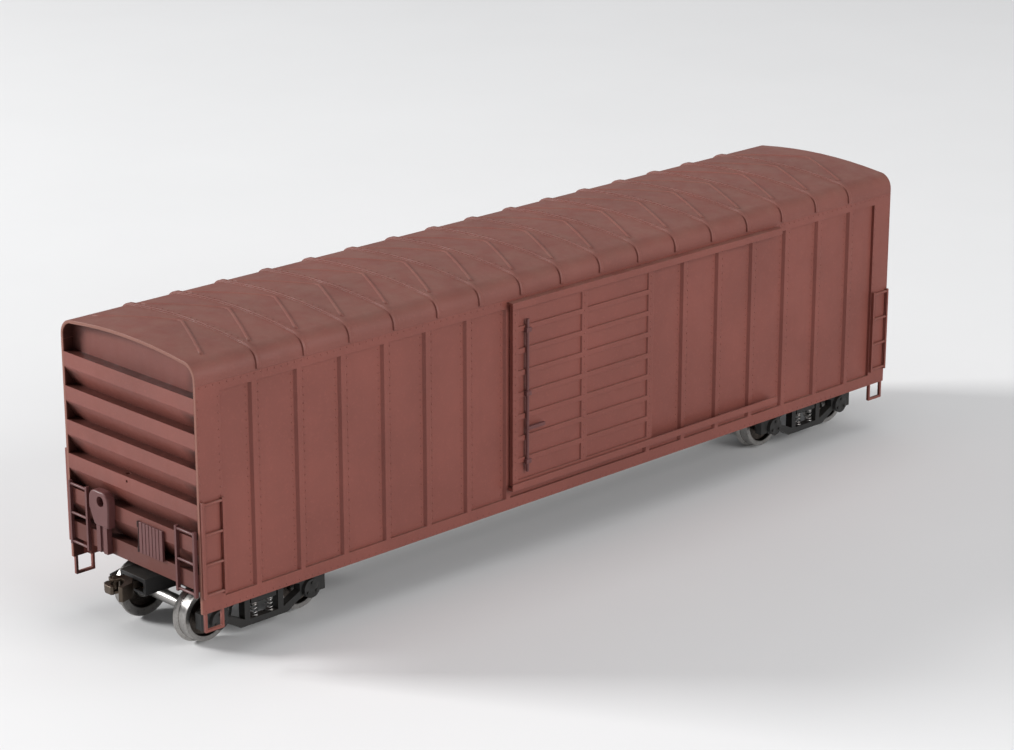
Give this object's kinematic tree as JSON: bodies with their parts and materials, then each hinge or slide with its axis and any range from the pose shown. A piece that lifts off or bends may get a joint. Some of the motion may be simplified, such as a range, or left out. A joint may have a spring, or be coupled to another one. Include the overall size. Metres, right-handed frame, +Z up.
{
  "type": "model box car",
  "caption": "Scale model railway box car with ribbed ends, sliding side doors, swivelling trucks, turning wheelsets and swinging knuckle couplers.",
  "frame": {"origin": "midway along and across the car, at the lowest point of the wheel flanges", "axes": "+Z up, Y along the car with the brake end at -Y, +X to the right when looking from the brake end along +Y"},
  "size_m": [0.0404, 0.189, 0.0551],
  "materials": {
    "body_plastic": "satin moulded oxide-red polystyrene",
    "pin_plastic": "dark moulded plastic",
    "frame_plastic": "black moulded plastic",
    "truck_plastic": "black acetal plastic",
    "weight_steel": "rolled, unpainted",
    "screw_steel": "plated",
    "spring_steel": "drawn wire",
    "spring_bronze": "sheet",
    "coupler_metal": "chemically darkened casting",
    "wheel_metal": "turned, nickel plated",
    "axle_steel": "turned"
  },
  "bodies": {
    "body": {"roof": "body_plastic", "end_a": "body_plastic", "end_b": "body_plastic", "side_left": "body_plastic", "side_right": "body_plastic", "floor": "frame_plastic", "centre_sill": "frame_plastic", "steel_weight": "weight_steel", "door_track_lower_left": "body_plastic", "door_track_lower_right": "body_plastic", "door_track_upper_left": "body_plastic", "door_track_upper_right": "body_plastic", "end_ladders_a": "body_plastic", "end_ladders_b": "body_plastic", "side_ladders_left": "body_plastic", "side_ladders_right": "body_plastic", "hand_brake_housing": "body_plastic", "hand_brake_bracket": "body_plastic", "placard_board": "body_plastic", "board_hinge": "pin_plastic", "brake_cylinder": "frame_plastic", "air_reservoir": "frame_plastic", "control_valve": "frame_plastic", "brake_rods": "frame_plastic", "coupler_box_a": "frame_plastic", "coupler_box_lid_a": "frame_plastic", "centring_spring_a": "spring_bronze", "coupler_box_b": "frame_plastic", "coupler_box_lid_b": "frame_plastic", "centring_spring_b": "spring_bronze", "kingpin_screws": "screw_steel", "coupler_box_screws": "screw_steel", "sill_steps": "body_plastic"},
    "door_left": {"door_left": "body_plastic", "door_latch_left": "body_plastic"},
    "door_right": {"door_right": "body_plastic", "door_latch_right": "body_plastic"},
    "truck_b": {"truck_bolster_b": "truck_plastic", "truck_frame_left_b": "truck_plastic", "truck_frame_right_b": "truck_plastic", "truck_springs_b": "spring_steel"},
    "wheelset_outer_b": {"axle_outer_b": "axle_steel", "wheels_outer_b": "wheel_metal"},
    "wheelset_inner_b": {"axle_inner_b": "axle_steel", "wheels_inner_b": "wheel_metal"},
    "coupler_b": {"coupler_b": "coupler_metal", "knuckle_pin_b": "coupler_metal"},
    "knuckle_b": {"knuckle_b": "coupler_metal"},
    "truck_a": {"truck_bolster_a": "truck_plastic", "truck_frame_left_a": "truck_plastic", "truck_frame_right_a": "truck_plastic", "truck_springs_a": "spring_steel"},
    "wheelset_outer_a": {"axle_outer_a": "axle_steel", "wheels_outer_a": "wheel_metal"},
    "wheelset_inner_a": {"axle_inner_a": "axle_steel", "wheels_inner_a": "wheel_metal"},
    "coupler_a": {"coupler_a": "coupler_metal", "knuckle_pin_a": "coupler_metal"},
    "knuckle_a": {"knuckle_a": "coupler_metal"}
  },
  "joints": [
    {"name": "door_right_slide", "type": "slide", "parent": "body", "child": "door_right", "axis": [0, 1, 0], "range_m": [0, 0.035]},
    {"name": "door_left_slide", "type": "slide", "parent": "body", "child": "door_left", "axis": [0, -1, 0], "range_m": [0, 0.035]},
    {"name": "truck_b_swivel", "type": "hinge", "parent": "body", "child": "truck_b", "pos_m": [0, -0.0714, 0.0092], "axis": [0, 0, 1], "range_deg": [-10, 10]},
    {"name": "wheelset_outer_b_spin", "type": "hinge", "parent": "truck_b", "child": "wheelset_outer_b", "pos_m": [0, -0.0816, 0.00545], "axis": [1, 0, 0], "continuous": true},
    {"name": "wheelset_inner_b_spin", "type": "hinge", "parent": "truck_b", "child": "wheelset_inner_b", "pos_m": [0, -0.0612, 0.00545], "axis": [1, 0, 0], "continuous": true},
    {"name": "coupler_b_swing", "type": "hinge", "parent": "body", "child": "coupler_b", "pos_m": [0, -0.084, 0.01054], "axis": [0, 0, 1], "range_deg": [-12, 12], "stiffness_Nm_per_rad": 0.002},
    {"name": "knuckle_b_swing", "type": "hinge", "parent": "coupler_b", "child": "knuckle_b", "pos_m": [-0.00175, -0.0922, 0.01054], "axis": [0, 0, -1], "range_deg": [0, 30], "stiffness_Nm_per_rad": 0.0005},
    {"name": "truck_a_swivel", "type": "hinge", "parent": "body", "child": "truck_a", "pos_m": [0, 0.0714, 0.0092], "axis": [0, 0, 1], "range_deg": [-10, 10]},
    {"name": "wheelset_outer_a_spin", "type": "hinge", "parent": "truck_a", "child": "wheelset_outer_a", "pos_m": [0, 0.0816, 0.00545], "axis": [1, 0, 0], "continuous": true},
    {"name": "wheelset_inner_a_spin", "type": "hinge", "parent": "truck_a", "child": "wheelset_inner_a", "pos_m": [0, 0.0612, 0.00545], "axis": [1, 0, 0], "continuous": true},
    {"name": "coupler_a_swing", "type": "hinge", "parent": "body", "child": "coupler_a", "pos_m": [0, 0.084, 0.01054], "axis": [0, 0, 1], "range_deg": [-12, 12], "stiffness_Nm_per_rad": 0.002},
    {"name": "knuckle_a_swing", "type": "hinge", "parent": "coupler_a", "child": "knuckle_a", "pos_m": [0.00175, 0.0922, 0.01054], "axis": [0, 0, -1], "range_deg": [0, 30], "stiffness_Nm_per_rad": 0.0005}
  ]
}
